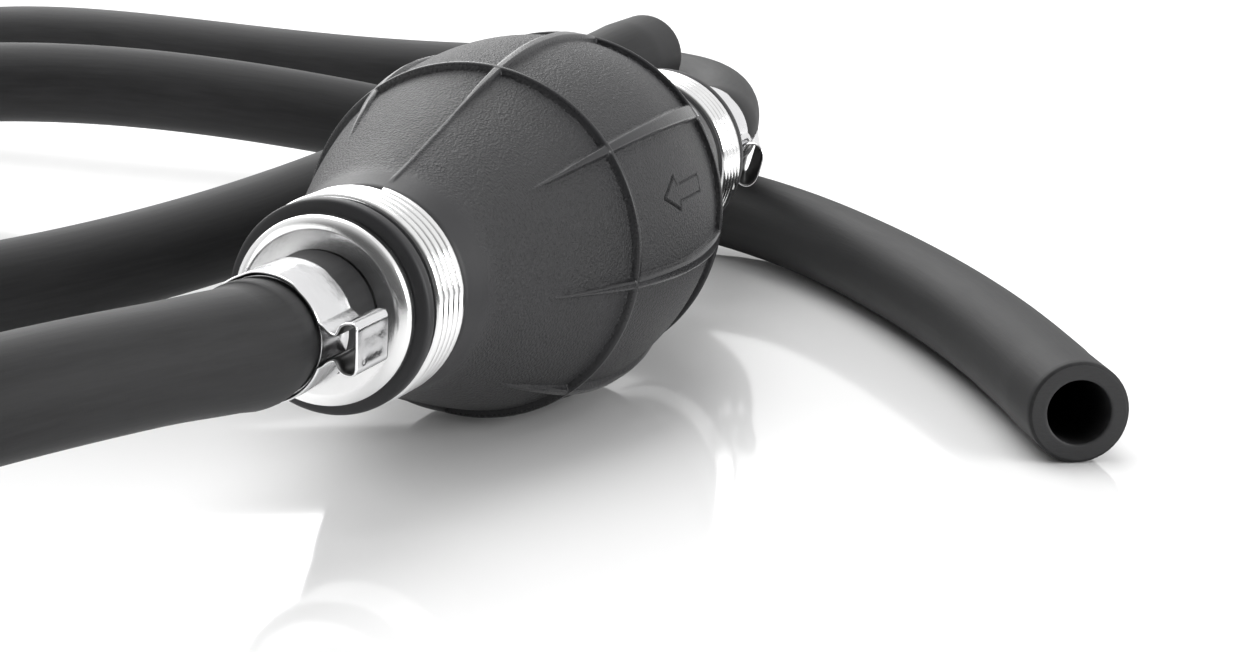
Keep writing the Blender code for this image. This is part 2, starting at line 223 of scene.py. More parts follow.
def metal(name, colour, low, high, scale=180.0, scratches=1.0, dents=0.0):
    """Metal with fine scratches, and dents if asked. Its roughness varies from low to high."""
    material = new_material(name, colour, (low + high) / 2, 1.0)
    place = object_place(material)
    cloud = noise(material, place, scale, 4.0, 0.55)
    connect(material, "Roughness", remap(material, cloud, 0.3, 0.7, low, high))
    dark = tuple(0.86 * c for c in colour)
    connect(material, "Base Color", mix_colour(material, cloud, dark, colour))
    fine = noise(material, object_place(material, (1.0, 6.0, 1.5)), 700.0, 3.0, 0.6)
    if dents:
        dimples = noise(material, place, 330.0, 3.0, 0.6)
        fine = add_values(material, fine, multiply(material, dimples, dents))
    bump(material, fine, 0.00002, 0.35 * scratches)
    return material


def plastic():
    material = new_material("valve_plastic_moulded", (0.78, 0.78, 0.74), 0.4)
    place = object_place(material)
    cloud = noise(material, place, 300.0, 3.0, 0.5)
    connect(material, "Base Color", mix_colour(material, cloud, (0.70, 0.70, 0.66), (0.80, 0.80, 0.77)))
    connect(material, "Roughness", remap(material, cloud, 0.3, 0.7, 0.32, 0.46))
    bump(material, noise(material, place, 1500.0, 2.0), 0.00002, 0.4)
    return material


def seal_rubber():
    material = new_material("seal_rubber_soft", (0.03, 0.03, 0.03), 0.55)
    place = object_place(material)
    cloud = noise(material, place, 800.0, 3.0, 0.5)
    connect(material, "Base Color", mix_colour(material, cloud, (0.025, 0.025, 0.025), (0.045, 0.045, 0.045)))
    bump(material, cloud, 0.00004, 0.5)
    return material


def floor_white():
    material = new_material("floor_gloss_white", (0.83, 0.83, 0.83), 0.06, specular=0.42)
    place = object_place(material)
    cloud = noise(material, place, 3.0, 2.0, 0.5)
    connect(material, "Roughness", remap(material, cloud, 0.3, 0.7, 0.05, 0.08))
    connect(material, "Base Color", mix_colour(material, cloud, (0.825, 0.825, 0.825), (0.835, 0.835, 0.835)))
    return material


SKIN = bulb_rubber()
HOSE = hose_rubber()
CUT = cut_rubber()
CHROME = metal("nickel_plate_bright", (0.9, 0.9, 0.9), 0.14, 0.26)
WIRE = metal("stainless_wire_bright", (0.9, 0.9, 0.9), 0.08, 0.18, scale=260.0)
STRIP = metal("stainless_strip", (0.83, 0.83, 0.84), 0.1, 0.24, scale=320.0, scratches=1.6, dents=4.0)
# darkened steel for the strip's inner faces: painted shade for the cavity under the band and inside the ear
STRIP_PAINTED_SHADE = metal("stainless_strip_painted_shade", (0.2, 0.2, 0.2), 0.35, 0.5, scale=320.0, scratches=1.6)
PLASTIC = plastic()
SEAL = seal_rubber()


# ---------------------------------------------------------------- mesh helpers

def new_piece(name, points, faces, materials):
    """A smooth-shaded object, from points in metres."""
    mesh = bpy.data.meshes.new(name)
    mesh.from_pydata([tuple(map(float, p)) for p in points], [], faces)
    mesh.polygons.foreach_set("use_smooth", [True] * len(mesh.polygons))
    for material in materials:
        mesh.materials.append(material)
    mesh.update()
    piece = bpy.data.objects.new(name, mesh)
    bpy.context.scene.collection.objects.link(piece)
    return piece


def finish_piece(piece, body, slot, *nodes):
    """Ties a rigid piece to its body and hides the CAD nodes that it replaces. What it is made of, the slot,
    is not used.
    """
    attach(piece, body)
    if nodes:
        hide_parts(*nodes)


def grid_faces(rows, columns, closed_columns):
    """Four-sided faces over a grid of points that are kept row by row."""
    faces = []
    last = columns if closed_columns else columns - 1
    for i in range(rows - 1):
        here, beyond = i * columns, (i + 1) * columns
        for j in range(last):
            k = (j + 1) % columns
            faces.append((here + j, beyond + j, beyond + k, here + k))
    return faces


def weld_and_face_out(piece):
    shape = bmesh.new()
    shape.from_mesh(piece.data)
    bmesh.ops.remove_doubles(shape, verts=shape.verts, dist=1e-6)
    bmesh.ops.recalc_face_normals(shape, faces=shape.faces)
    shape.to_mesh(piece.data)
    shape.free()


def round_axis(x, radius, angle):
    """A point in millimetres at a radius from the bulb's axis. The angle goes from the top towards -Y."""
    return x, -radius * math.sin(angle), AXIS_HEIGHT + radius * math.cos(angle)


def turned(name, profile, material, segments=128, side=1):
    """A piece turned about the bulb's axis, from (radius, x) in millimetres once round its section."""
    points = [
        round_axis(side * x, radius, 2 * math.pi * j / segments)
        for radius, x in [*profile, profile[0]] for j in range(segments)]
    faces = grid_faces(len(profile) + 1, segments, True)
    piece = new_piece(name, np.array(points) * MM, faces, [material])
    weld_and_face_out(piece)
    return piece


def rounded(points, radius, steps=4):
    """The closed flat outline with its corners rounded. A third number is that corner's own radius."""
    result = []
    count = len(points)
    for i in range(count):
        here = Vector(points[i][:2])
        reach = points[i][2] if len(points[i]) > 2 else radius
        before = Vector(points[i - 1][:2]) - here
        after = Vector(points[(i + 1) % count][:2]) - here
        reach = min(reach, before.length * 0.49, after.length * 0.49)
        if reach < 1e-6:
            result.append(tuple(here))
            continue
        a = here + before.normalized() * reach
        b = here + after.normalized() * reach
        for k in range(steps + 1):
            t = k / steps
            result.append(tuple(a * (1 - t) ** 2 + here * 2 * t * (1 - t) + b * t ** 2))
    return result


def smoothstep(t):
    """Rises smoothly from 0 to 1 as t does."""
    t = min(max(t, 0.0), 1.0)
    return t * t * (3 - 2 * t)


def distances(line):
    """How far along a line of points each one is."""
    steps = np.linalg.norm(np.diff(line, axis=0), axis=1)
    return np.concatenate([[0], np.cumsum(steps)])


def evenly(line, count):
    """That many points, evenly spaced along a line, from its first to its last."""
    lengths = distances(line)
    wanted = np.linspace(0, lengths[-1], count)
    return np.array([np.interp(wanted, lengths, line[:, k]) for k in range(line.shape[1])]).T


def sweep_frames(line):
    """Tangents and two directions across a line of points, without twist."""
    tangents = np.gradient(line, axis=0)
    tangents /= np.linalg.norm(tangents, axis=1)[:, None]
    first = np.cross(tangents[0], (0.0, 0.0, 1.0))
    across = [first / np.linalg.norm(first)]
    for tangent in tangents[1:]:
        moved = across[-1] - tangent * across[-1].dot(tangent)
        across.append(moved / np.linalg.norm(moved))
    across = np.array(across)
    return tangents, across, np.cross(tangents, across)


def unit_circle(segments):
    """Cosines and sines of evenly spaced angles, each as a column."""
    angles = 2 * np.pi * np.arange(segments)[:, None] / segments
    return np.cos(angles), np.sin(angles)


def new_wire(name, line, radius, segments):
    """A round wire with flat ends along a line of points, in millimetres."""
    line = np.array(line)
    _, across, upward = sweep_frames(line)
    cosines, sines = unit_circle(segments)
    rings = [centre + radius * (cosines * a + sines * u) for centre, a, u in zip(line, across, upward)]
    faces = grid_faces(len(line), segments, True)
    faces.append(tuple(range(segments)))
    faces.append(tuple(reversed(range((len(line) - 1) * segments, len(line) * segments))))
    piece = new_piece(name, np.vstack(rings) * MM, faces, [WIRE])
    weld_and_face_out(piece)
    return piece


# ---------------------------------------------------------------- hoses, in millimetres

OUTLET_ROUTE = [
    (-90, 0, 27.1), (-98, 0.3, 28.0), (-111, 2.6, 29.4), (-125, 8, 29.5), (-141, 18, 27.6),
    (-158, 33, 23.2), (-174, 53, 17.6), (-186, 77, 12.2), (-193, 104, 8.6), (-194, 132, 7.3),
    (-187, 160, 7.3), (-171, 184, 7.3), (-148, 200, 7.3), (-120, 206, 7.3), (-92, 199, 7.3),
    (-70, 180, 7.4), (-57, 154, 8), (-50, 127, 9.2), (-42, 101, 11.1), (-28, 78, 13.9), (-8, 59, 17.5),
    (18, 46.5, 21.3), (43, 37, 26), (65, 28.5, 31), (82, 22, 34.8), (97, 18.8, 37.3),
]
INLET_ROUTE = [
    (90, 0, 27.1), (98, 0.3, 27.1), (111, 2.4, 27.2), (124, 7.2, 27.2), (136, 15, 27), (146.5, 26.5, 26.4),
    (153, 40.5, 25.2), (156, 57, 23.9), (156, 75, 23), (154, 96, 23.4), (152.5, 119, 24.6), (153, 143, 26),
    (155.5, 168, 26.6), (159, 193, 24.8), (161, 218, 19.8), (159, 243, 13.2), (151, 266, 8.7),
    (136, 285, 7.3), (115, 297, 7.3), (91, 298, 7.3), (69, 289, 7.5), (53, 272, 8.4), (44, 250, 11),
    (42, 225, 15.5), (45, 200, 21), (51, 175, 26.3), (59, 151, 30), (68, 128, 31.9), (77, 107, 30.6),
    (85.5, 87, 27.8), (95.5, 69, 23.8), (109, 54, 18.6), (121, 37.5, 12.6), (125.2, 19.5, 9),
    (119.6, -0.4, 7.4), (103, -16.2, 7.3), (81, -34.5, 7.3), (60.2, -49.6, 7.3), (38.9, -63.2, 7.3),
    (20.5, -73.4, 7.3), (5.4, -80.4, 7.3),
]
HOSE_R = 7.25
HOSE_BORE_R = 4.95
BARB_BORE_R = 5.55  # where the hose is stretched over the barb
HOSE_START_X = 69.1  # at the flange
STRAIGHT_END_X = 89.2
MOUTH_LENGTH = 12.3  # straight stretch up to the cut
ROUTE_SPACING = 3.5
CURVE_STEPS = 24  # between two points of a route
EASING_ROUNDS = 60
HOSE_SEGMENTS = 48

# (radius, how far behind the cut) over the cut end's rounded edge, its flat face and the edge of its bore
CUT_EDGE = [(HOSE_R, 0.45), (HOSE_R - 0.12, 0.14), (HOSE_R - 0.45, 0.0)]
CUT_FACE = [(radius, 0.0) for radius in (6.6, 6.3, 6.0, 5.7, 5.4, 5.15)]
CUT_BORE_EDGE = [(4.85, 0.0), (4.66, 0.08), (4.6, 0.3)]


def smooth_path(route, spacing):
    """Evenly spaced points on a Catmull-Rom curve through the route, with its small wobbles eased out."""
    points = [np.array(p, float) for p in route]
    points = [2 * points[0] - points[1]] + points + [2 * points[-1] - points[-2]]
    curve = []
    for a, b, c, d in zip(points, points[1:], points[2:], points[3:]):
        for t in np.arange(CURVE_STEPS) / CURVE_STEPS:
            curve.append(0.5 * (
                2 * b + (c - a) * t + (2 * a - 5 * b + 4 * c - d) * t ** 2
                + (3 * b - a - 3 * c + d) * t ** 3))
    curve.append(points[-2])
    curve = np.array(curve)
    curve = evenly(curve, round(distances(curve)[-1] / spacing) + 1)
    for _ in range(EASING_ROUNDS):
        eased = curve[1:-1] + 0.5 * (0.5 * (curve[:-2] + curve[2:]) - curve[1:-1])
        curve[2:-2] = eased[1:-1]
    return curve


def hump(distance, width, power=2):
    """A smooth hump, 1 high at its middle."""
    return math.exp(-(distance / width) ** power)


def hose_radius(from_flange, clamp_at):
    """Outer radius: stretched by the barb, flared at the flange, nipped by the clamp, bulging beside it."""
    stretch = 0.35 * (1 - smoothstep((from_flange - 24) / 14))
    flare = 0.6 * hump(from_flange, 3.0)
    from_clamp = from_flange - clamp_at
    nip = 0.16 * hump(from_clamp, 4.9, 6)
    bulges = 0.45 * hump(from_clamp - 8.0, 2.8) + 0.14 * hump(from_clamp + 6.6, 1.8)
    return HOSE_R + stretch + flare - nip + bulges


def bore_radius(from_flange, from_cut):
    """Inner radius: stretched by the barb, then plain, and squeezed in a little by the cut."""
    stretch = (BARB_BORE_R - HOSE_BORE_R) * (1 - smoothstep((from_flange - 18) / 6))
    return HOSE_BORE_R + stretch - 0.35 * smoothstep(1 - from_cut / 9)


def add_hose(end, side, route, heading, clamp_x):
    """The whole hose from the flange to its cut end, bored through."""
    line = np.vstack([
        np.linspace((side * HOSE_START_X, 0, AXIS_HEIGHT), (side * STRAIGHT_END_X, 0, AXIS_HEIGHT), 22),
        smooth_path(route, ROUTE_SPACING),
    ])
    outward = np.array((math.cos(heading), math.sin(heading), 0.0))
    mouth = line[-1] + outward * np.linspace(1.5, MOUTH_LENGTH, 8)[:, None]
    line = np.vstack([line, mouth])
    lengths = distances(line)
    total = lengths[-1]
    last = len(line) - 1
    tangents, across, upward = sweep_frames(line)
    cosines, sines = unit_circle(HOSE_SEGMENTS)
    rings, places = [], []

    def add_ring(i, radius, behind=0.0):
        points = line[i] - tangents[i] * behind + radius * (cosines * across[i] + sines * upward[i])
        points[:, 2] = np.maximum(points[:, 2], FLOOR_GAP)
        rings.append(points)
        places.append(lengths[i])

    for i in range(last):
        add_ring(i, hose_radius(lengths[i], clamp_x - HOSE_START_X))
    for radius, behind in CUT_EDGE + CUT_FACE + CUT_BORE_EDGE:
        add_ring(last, radius, behind)
    for i in reversed(range(last)):
        add_ring(i, bore_radius(lengths[i], total - lengths[i]))
    rings.append(rings[0])
    places.append(0.0)

    faces = grid_faces(len(rings), HOSE_SEGMENTS, True)
    piece = new_piece(end + "_rubber_hose", np.vstack(rings) * MM, faces, [HOSE, CUT])
    cut_start = last + len(CUT_EDGE) - 1
    cut_end = cut_start + len(CUT_FACE) + len(CUT_BORE_EDGE)
    for face in range(cut_start * HOSE_SEGMENTS, cut_end * HOSE_SEGMENTS):
        piece.data.polygons[face].material_index = 1
    # where each point is on the hose, for the texture: along it, then round it
    place = np.zeros((len(rings) * HOSE_SEGMENTS, 3), np.float32)
    place[:, 0] = 0.012 * np.repeat(places, HOSE_SEGMENTS)
    place[:, 1] = 0.9 * np.tile(cosines[:, 0], len(rings))
    place[:, 2] = 0.9 * np.tile(sines[:, 0], len(rings))
    attribute = piece.data.attributes.new("hose_place", "FLOAT_VECTOR", "POINT")
    attribute.data.foreach_set("vector", place.ravel())
    finish_piece(piece, "pump_body", "hose_rubber", end + "_hose_cuff", end + "_hose", end + "_hose_mouth")


OUTLET_CLAMP_X, INLET_CLAMP_X = 80.3, 82.4  # from the middle of the bulb

add_hose("outlet", -1, OUTLET_ROUTE, 0.0, OUTLET_CLAMP_X)
add_hose("inlet", 1, INLET_ROUTE, math.radians(208), INLET_CLAMP_X)


# ---------------------------------------------------------------- bulb

BELLY_R, NECK_R = 27.1, 12.4
BELLY_HALF = 62.0  # where the belly's curve would meet the neck
SHOULDER = 53.3  # where the belly stops at each neck
WALL = 3.5
SLEEVE_R = 9.7  # of the bore in each neck
RING_X = 18.5
RIB_COUNT = 8
RIB_STEP = 360 / RIB_COUNT
RIB_PHASE = 9.4  # angle of the first rib from the top, in degrees
RIB_END_X = 36.0
PARTING_LINE_END_X = 51.0


def belly_radius(x):
    along = np.minimum(np.abs(x) / BELLY_HALF, 1.0)
    return NECK_R + (BELLY_R - NECK_R) * np.cos(along * np.pi / 2) ** 1.5


def ridge(distance, top, flank):
    """A rounded ridge: 1 high within top of its middle line, and down to 0 over the width of a flank."""
    rise = np.clip((top + flank - np.abs(distance)) / flank, 0, 1)
    return rise * rise * (3 - 2 * rise)


def segment_distance(x, y, a, b):
    """Distance from (x, y) to the straight line between a and b."""
    ax, ay = a
    bx, by = b
    share = np.clip(((x - ax) * (bx - ax) + (y - ay) * (by - ay)) / ((bx - ax) ** 2 + (by - ay) ** 2), 0, 1)
    return np.hypot(x - ax - share * (bx - ax), y - ay - share * (by - ay))


# the flow arrow's lines, as (along the bulb, round it) in millimetres
ARROW_HEAD = [((-8.4, 0.0), (-4.0, -2.5)), ((-8.4, 0.0), (-3.6, 2.5))]
ARROW_SHAFT = [
    ((-4.0, -2.5), (-3.4, -1.2)), ((-3.6, 2.5), (-3.2, 1.2)), ((-2.6, -1.2), (6.2, -1.2)),
    ((-2.4, 1.3), (6.0, 1.3)), ((6.2, -1.2), (6.0, 1.3)),
]
ARROW_ANGLE = 76.0


def line_relief(x, across, lines, top, flank):
    """A ridge, 0 to 1 high, along each of the lines."""
    height = np.zeros(np.shape(across))
    for a, b in lines:
        height = np.maximum(height, ridge(segment_distance(x, across, a, b), top, flank))
    return height


def belly_relief(x, angle):
    """Height of the ribs, rings and parting line over the belly, less the arrow's depth. Angle in degrees."""
    reach = np.abs(x)
    between_rings = reach < RING_X
    taper = np.clip((RIB_END_X - reach) / (RIB_END_X - RING_X), 0, 1)
    rib_top = np.where(between_rings, 0.75 + 0.25 * x / RING_X, np.where(x > 0, 0.9, 0.5) * taper)
    rib_flank = 0.25 + 0.2 * np.where(between_rings, 1.0, taper)
    rib_height = np.where(between_rings, 0.85 + 0.15 * reach / RING_X, taper ** 0.7)

    height = 1.1 * ridge(reach - RING_X, 0.2, 0.5)
    for k in range(RIB_COUNT):
        turn = (angle - RIB_PHASE - k * RIB_STEP + 180) % 360 - 180
        across = belly_radius(x) * np.radians(turn)
        height = np.maximum(height, rib_height * ridge(across, rib_top, rib_flank))
        if k in (0, RIB_COUNT // 2):
            parting_line = 0.25 * ridge(across, 0.12, 0.35) * (reach < PARTING_LINE_END_X)
            height = np.maximum(height, parting_line)

    across = belly_radius(x) * np.radians(angle - ARROW_ANGLE)
    head = 0.55 * line_relief(x, across, ARROW_HEAD, 0.1, 0.2)
    shaft = 0.3 * line_relief(x, across, ARROW_SHAFT, 0.04, 0.18)
    return height - np.maximum(head, shaft)


def skin_stations():
    """(x, radius, part) once round the skin's section: part is 1 on the belly, 0 on a neck, -1 inside."""
    neck = [
        (53.6, 13.3), (53.9, 12.7), (54.3, 12.4), (63.4, 12.4), (63.7, 12.6), (63.9, 13.0), (63.95, 13.6),
        (64.15, 14.1), (64.5, 14.25), (65.5, 14.25), (65.9, 14.1), (66.1, 13.7), (66.1, 12.0),
        (66.1, SLEEVE_R),
    ]
    coarse = np.arange(-SHOULDER, SHOULDER + 0.01, 0.7)
    near_ring = np.abs(np.abs(coarse) - RING_X) <= 1.6
    near_arrow = (coarse > -9.6) & (coarse < 7.6)
    fine_ranges = [(-RING_X - 1.1, -RING_X + 1.1), (RING_X - 1.1, RING_X + 1.1), (-9.4, 7.4)]
    fine = [np.arange(low, high, 0.14) for low, high in fine_ranges]
    belly = np.concatenate([coarse[~near_ring & ~near_arrow], *fine])
    belly = np.unique(np.round(belly, 3))
    stations = [(-x, radius, 0.0) for x, radius in reversed(neck)]
    stations += [(x, belly_radius(x), 1.0) for x in belly]
    stations += [(x, radius, 0.0) for x, radius in neck]
    stations += [(x, max(belly_radius(x) - WALL, SLEEVE_R), -1.0) for x in np.linspace(42.0, -42.0, 41)]
    stations.append(stations[0])
    return stations


def half_angles(start):
    """Angles over half a turn in degrees, denser at the ribs and the arrow."""
    angles = []
    along = 0.0
    while along < 180.0:
        angles.append(along)
        from_rib = (start + along - RIB_PHASE + RIB_STEP / 2) % RIB_STEP - RIB_STEP / 2
        if -7.0 < start + along - ARROW_ANGLE < 8.0:
            along += 0.3
        elif abs(from_rib) < 5.0:
            along += 0.5
        else:
            along += 1.25
    return np.array(angles + [180.0]) + start


def add_bulb_half(name, start, panel_node):
    """Half of the bulb's skin, from the angle start, in place of the bulb and its squeeze wall on that side.
    """
    stations = np.array(skin_stations())
    angles = half_angles(start)[None, :]
    x, base, part = (stations[:, k, None] for k in range(3))
    shape = (len(stations), angles.size)
    relief = belly_relief(np.broadcast_to(x, shape), np.broadcast_to(angles % 360, shape))
    on_belly = part > 0.5
    radius = base + np.where(on_belly, relief, 0.0)
    points = np.empty((*shape, 3))
    points[:, :, 0] = x
    points[:, :, 1] = -radius * np.sin(np.radians(angles))
    points[:, :, 2] = np.maximum(AXIS_HEIGHT + radius * np.cos(np.radians(angles)), FLOOR_GAP)
    faces = grid_faces(*shape, False)
    piece = new_piece(name, points.reshape(-1, 3) * MM, faces, [SKIN])
    # the grain fades out towards the necks and on the ridges, and the ridges are smoother
    near_neck = np.clip((49.5 - np.abs(x)) / 3.5, 0, 1)
    off_ridge = np.clip(1 - relief / 0.5, 0.05, 1)
    grain = np.where(on_belly, near_neck * off_ridge, 0.0)
    on_ridge = np.where(on_belly, np.clip(relief / 0.6, 0, 1), 0.0)
    for label, values in (("grain", grain), ("ridge", on_ridge)):
        attribute = piece.data.attributes.new(label, "FLOAT", "POINT")
        attribute.data.foreach_set("value", values.ravel().astype(np.float32))
    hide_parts("squeeze_bulb", panel_node)
    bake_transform(piece)


add_bulb_half("bulb_skin_front", 0.0, "front_squeeze_wall")
add_bulb_half("bulb_skin_back", 180.0, "back_squeeze_wall")


# ---------------------------------------------------------------- wound clamps on the necks

WOUND_WIRE_R = 0.86
WOUND_PITCH = 1.66
WOUND_TURNS = 4.75
WOUND_INNER_R = 12.8
WOUND_START_X = 54.2
STEPS_PER_TURN = 72


def add_wound_clamp(end, side, start_angle):
    """A wire wound side by side round the neck, with plain cut ends."""
    line = []
    for i in range(round(WOUND_TURNS * STEPS_PER_TURN) + 1):
        turns = i / STEPS_PER_TURN
        x = WOUND_START_X + WOUND_WIRE_R + WOUND_PITCH * turns
        angle = math.radians(start_angle) + 2 * math.pi * turns
        line.append(round_axis(side * x, WOUND_INNER_R + WOUND_WIRE_R, angle))
    piece = new_wire(end + "_wound_wire", line, WOUND_WIRE_R, 14)
    finish_piece(piece, "pump_body", "stainless_steel", end + "_neck_wire_clamp")


add_wound_clamp("outlet", -1, 12.0)
add_wound_clamp("inlet", 1, 200.0)


# ---------------------------------------------------------------- end fittings

FITTING_BORE_R = 3.4
BARB_R, BARB_RIDGE_R = 4.8, 5.25
SLEEVE_INNER_R, SLEEVE_OUTER_R = 7.6, 9.35


def add_fitting(end, side):
    """Plated flange with a broad rounded rim and a flat face, its sleeve in the neck and its ridged barb."""
    sleeve = [(SLEEVE_INNER_R, 44.0), (SLEEVE_OUTER_R, 44.0), (SLEEVE_OUTER_R, 66.35, 0.2)]
    flange = [
        (12.5, 66.4, 0.3), (12.55, 67.9, 0.4), (11.9, 68.5, 0.5), (11.0, 68.86, 0.3), (8.2, 68.76, 0.5),
        (5.6, 68.8, 0.5),
    ]
    barb = [(BARB_R, 69.6, 0.3)]
    for x in (73.0, 78.2, 83.4):
        barb += [(BARB_R, x), (BARB_RIDGE_R, x + 0.1), (BARB_R, x + 2.2)]
    barb += [(BARB_R, 88.0), (4.4, 88.4)]
    bore = [(FITTING_BORE_R, 88.4), (FITTING_BORE_R, 64.8), (SLEEVE_INNER_R, 64.8)]
    profile = rounded(sleeve + flange + barb + bore, 0.12)
    piece = turned(end + "_plated_fitting", profile, CHROME, 144, side)
    finish_piece(piece, "pump_body", "nickel_plate", end + "_end_fitting")


add_fitting("outlet", -1)
add_fitting("inlet", 1)


# ---------------------------------------------------------------- hose clamps

STRIP_HALF = 4.7  # half the strip's width
STRIP_THICK = 0.36
INNER_STRIP_R = 7.52
INNER_STRIP_HALF = 3.9
BAND_R = 8.14  # middle of the outer strip
EAR_TOP = 4.55  # middle of the pinched ear's plate above the middle of the band
EAR_FOOT = math.radians(20)

# (sideways, up from the band, corner radius) from the foot to the top over half of each ear
PINCHED_EAR = [(-2.5, 0.1, 0.5), (-1.8, 0.8, 0.5), (-1.4, 1.8, 0.6), (-3.1, 2.6, 0.8), (-3.3, EAR_TOP, 1.5)]
ROUND_EAR = [
    (-2.5, 0.1, 0.5), (-0.9, 0.7, 0.5), (-0.7, 1.8, 0.6), (-3.5, 2.4, 1.0), (-3.9, 4.5, 1.4),
    (-2.4, 5.8, 1.5),
]


def lock_lift(turn):
    """How far the strip is pressed up over its hooks, by the angle from the top towards +Y in radians."""
    rise = smoothstep((turn + math.radians(40)) / math.radians(10))
    fall = smoothstep((math.radians(22) - turn) / math.radians(16))
    return 0.2 * rise * fall


def band_outline(ear_angle, half_ear):
    """Closed mid-line of the outer strip, as (sideways, up) from the axis with up through the ear."""
    outline = []
    steps = 132
    for i in range(steps + 1):
        turn = EAR_FOOT + 2 * (math.pi - EAR_FOOT) * i / steps
        # turn counts from the ear, and the lock sits by the top of the hose
        from_top = (-(ear_angle + turn) + math.pi) % (2 * math.pi) - math.pi
        radius = BAND_R + lock_lift(from_top)
        outline.append((radius * math.sin(turn), radius * math.cos(turn), 0.0))
    ear = half_ear + [(0.0, half_ear[-1][1] + 0.05, 0.6)]
    ear += [(-sideways, up, reach) for sideways, up, reach in reversed(half_ear)]
    outline += [(sideways, BAND_R + up, reach) for sideways, up, reach in ear]
    outline = np.array(rounded(outline, 0.0, 6))
    return evenly(np.vstack([outline, outline[:1]]), 301)[:-1]


def strip_section():
    """Round-edged section of the strip as (across, depth), with points enough for the pressed plate."""
    half, thick, edge = STRIP_HALF, STRIP_THICK / 2, 0.12
    face = np.linspace(-half + edge, half - edge, 31)
    section = [(-half, -thick + edge), (-half, thick - edge)]
    section += [(across, thick) for across in face]
    section += [(half, thick - edge), (half, -thick + edge)]
    section += [(across, -thick) for across in face[::-6]]
    return section


def plate_press(across, sideways, up):
    """How deep the ear's plate is pressed in: a shallow panel with a small raised dot in one corner."""
    panel = smoothstep((3.9 - abs(across)) / 1.9) * smoothstep((2.5 - abs(sideways)) / 1.5)
    dot = math.exp(-(((across - 2.5) / 0.4) ** 2 + ((sideways - 1.7) / 0.4) ** 2))
    return smoothstep((up - EAR_TOP + 0.9) / 0.6) * (0.1 * panel + 0.14 * dot)


def add_hose_clamp(end, side, x, ear_degrees, half_ear, has_plate=False, taper=0.0):
    """Single-ear clamp: an inner strip all round, and over it the outer strip with the lock and the ear.

    The ear can have a pressed plate on top. The taper is the share of its height that it loses over its
    width.
    """
    ear_angle = math.radians(ear_degrees)
    low, high = x - INNER_STRIP_HALF, x + INNER_STRIP_HALF
    top = INNER_STRIP_R + STRIP_THICK
    inner_section = rounded([(INNER_STRIP_R, low), (top, low), (top, high), (INNER_STRIP_R, high)], 0.1)
    inner = turned(end + "_ear_clamp_liner", inner_section, STRIP, 128, side)
    finish_piece(inner, "pump_body", "stainless_steel")

    outline = band_outline(ear_angle, half_ear)
    along = np.roll(outline, -1, axis=0) - np.roll(outline, 1, axis=0)
    along /= np.linalg.norm(along, axis=1)[:, None]
    outward = np.stack([along[:, 1], -along[:, 0]], axis=1)
    if (outline * outward).sum() < 0:
        outward = -outward
    section = strip_section()
    points = []
    for (sideways, up), (out_s, out_u) in zip(outline, outward):
        on_plate = has_plate and abs(sideways) < 3.7 and up > BAND_R
        on_ear = abs(sideways) < 4.5 and up > BAND_R + 0.5
        for across, depth in section:
            if on_plate:
                depth -= plate_press(across, sideways, up - BAND_R)
            s, u = sideways + out_s * depth, up + out_u * depth
            if on_ear:
                u -= taper * (u - BAND_R - 0.5) * (across + STRIP_HALF) / (2 * STRIP_HALF)
            points.append((
                side * (x + across),
                -u * math.sin(ear_angle) - s * math.cos(ear_angle),
                AXIS_HEIGHT + u * math.cos(ear_angle) - s * math.sin(ear_angle),
            ))
    count, rows = len(section), len(outline)
    faces = grid_faces(rows, count, True)
    for j in range(count):
        k = (j + 1) % count
        faces.append(((rows - 1) * count + j, j, k, (rows - 1) * count + k))
    piece = new_piece(end + "_ear_clamp", np.array(points) * MM, faces, [STRIP, STRIP_PAINTED_SHADE])
    # the strip's inner faces get the darkened steel, which is painted shade
    inside = [depth < 0 for _, depth in section]
    for i, polygon in enumerate(piece.data.polygons):
        polygon.material_index = int(inside[i % count] and inside[(i + 1) % count])
    weld_and_face_out(piece)
    finish_piece(piece, "pump_body", "stainless_steel", end + "_hose_clamp")


add_hose_clamp("outlet", -1, OUTLET_CLAMP_X, 91.5, PINCHED_EAR, has_plate=True)
add_hose_clamp("inlet", 1, INLET_CLAMP_X, 106, ROUND_EAR, taper=0.8)


# ---------------------------------------------------------------- valves inside

for node, material in (
    ("valve_seat", STRIP), ("valve_seal", SEAL), ("valve_poppet", PLASTIC), ("valve_retainer", PLASTIC),
):
    for end in ("outlet", "inlet"):
        for material_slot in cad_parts[f"{end}_{node}"].material_slots:
            material_slot.material = material


SPRING_R = 3.4
SPRING_WIRE_R = 0.33
SPRING_TURNS = 4
SPRING_STEPS = 36  # per turn


def add_spring(end, face_x):
    """Fine coil in place of the valve's spring."""
    start, finish = face_x - 6.75, face_x - 13.55
    count = SPRING_TURNS * SPRING_STEPS
    line = [
        round_axis(start + (finish - start) * i / count, SPRING_R, -2 * math.pi * i / SPRING_STEPS)
        for i in range(count + 1)]
    piece = new_wire(end + "_valve_coil", line, SPRING_WIRE_R, 10)
    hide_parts(end + "_valve_spring")
    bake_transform(piece)


add_spring("outlet", -44.4)
add_spring("inlet", 63.6)


# ---------------------------------------------------------------- floor and light

def add_sheet(name, low, high, z, material):
    """A flat sheet on the stage, between two (x, y) corners."""
    (x0, y0), (x1, y1) = low, high
    mesh = bpy.data.meshes.new(name)
    mesh.from_pydata([(x0, y0, z), (x1, y0, z), (x1, y1, z), (x0, y1, z)], [], [(0, 1, 2, 3)])
    mesh.materials.append(material)
    sheet = bpy.data.objects.new(name, mesh)
    bpy.context.scene.collection.objects.link(sheet)
    return sheet


def add_floor():
    floor = add_sheet("floor", (-6, -6), (6, 6), 0, floor_white())


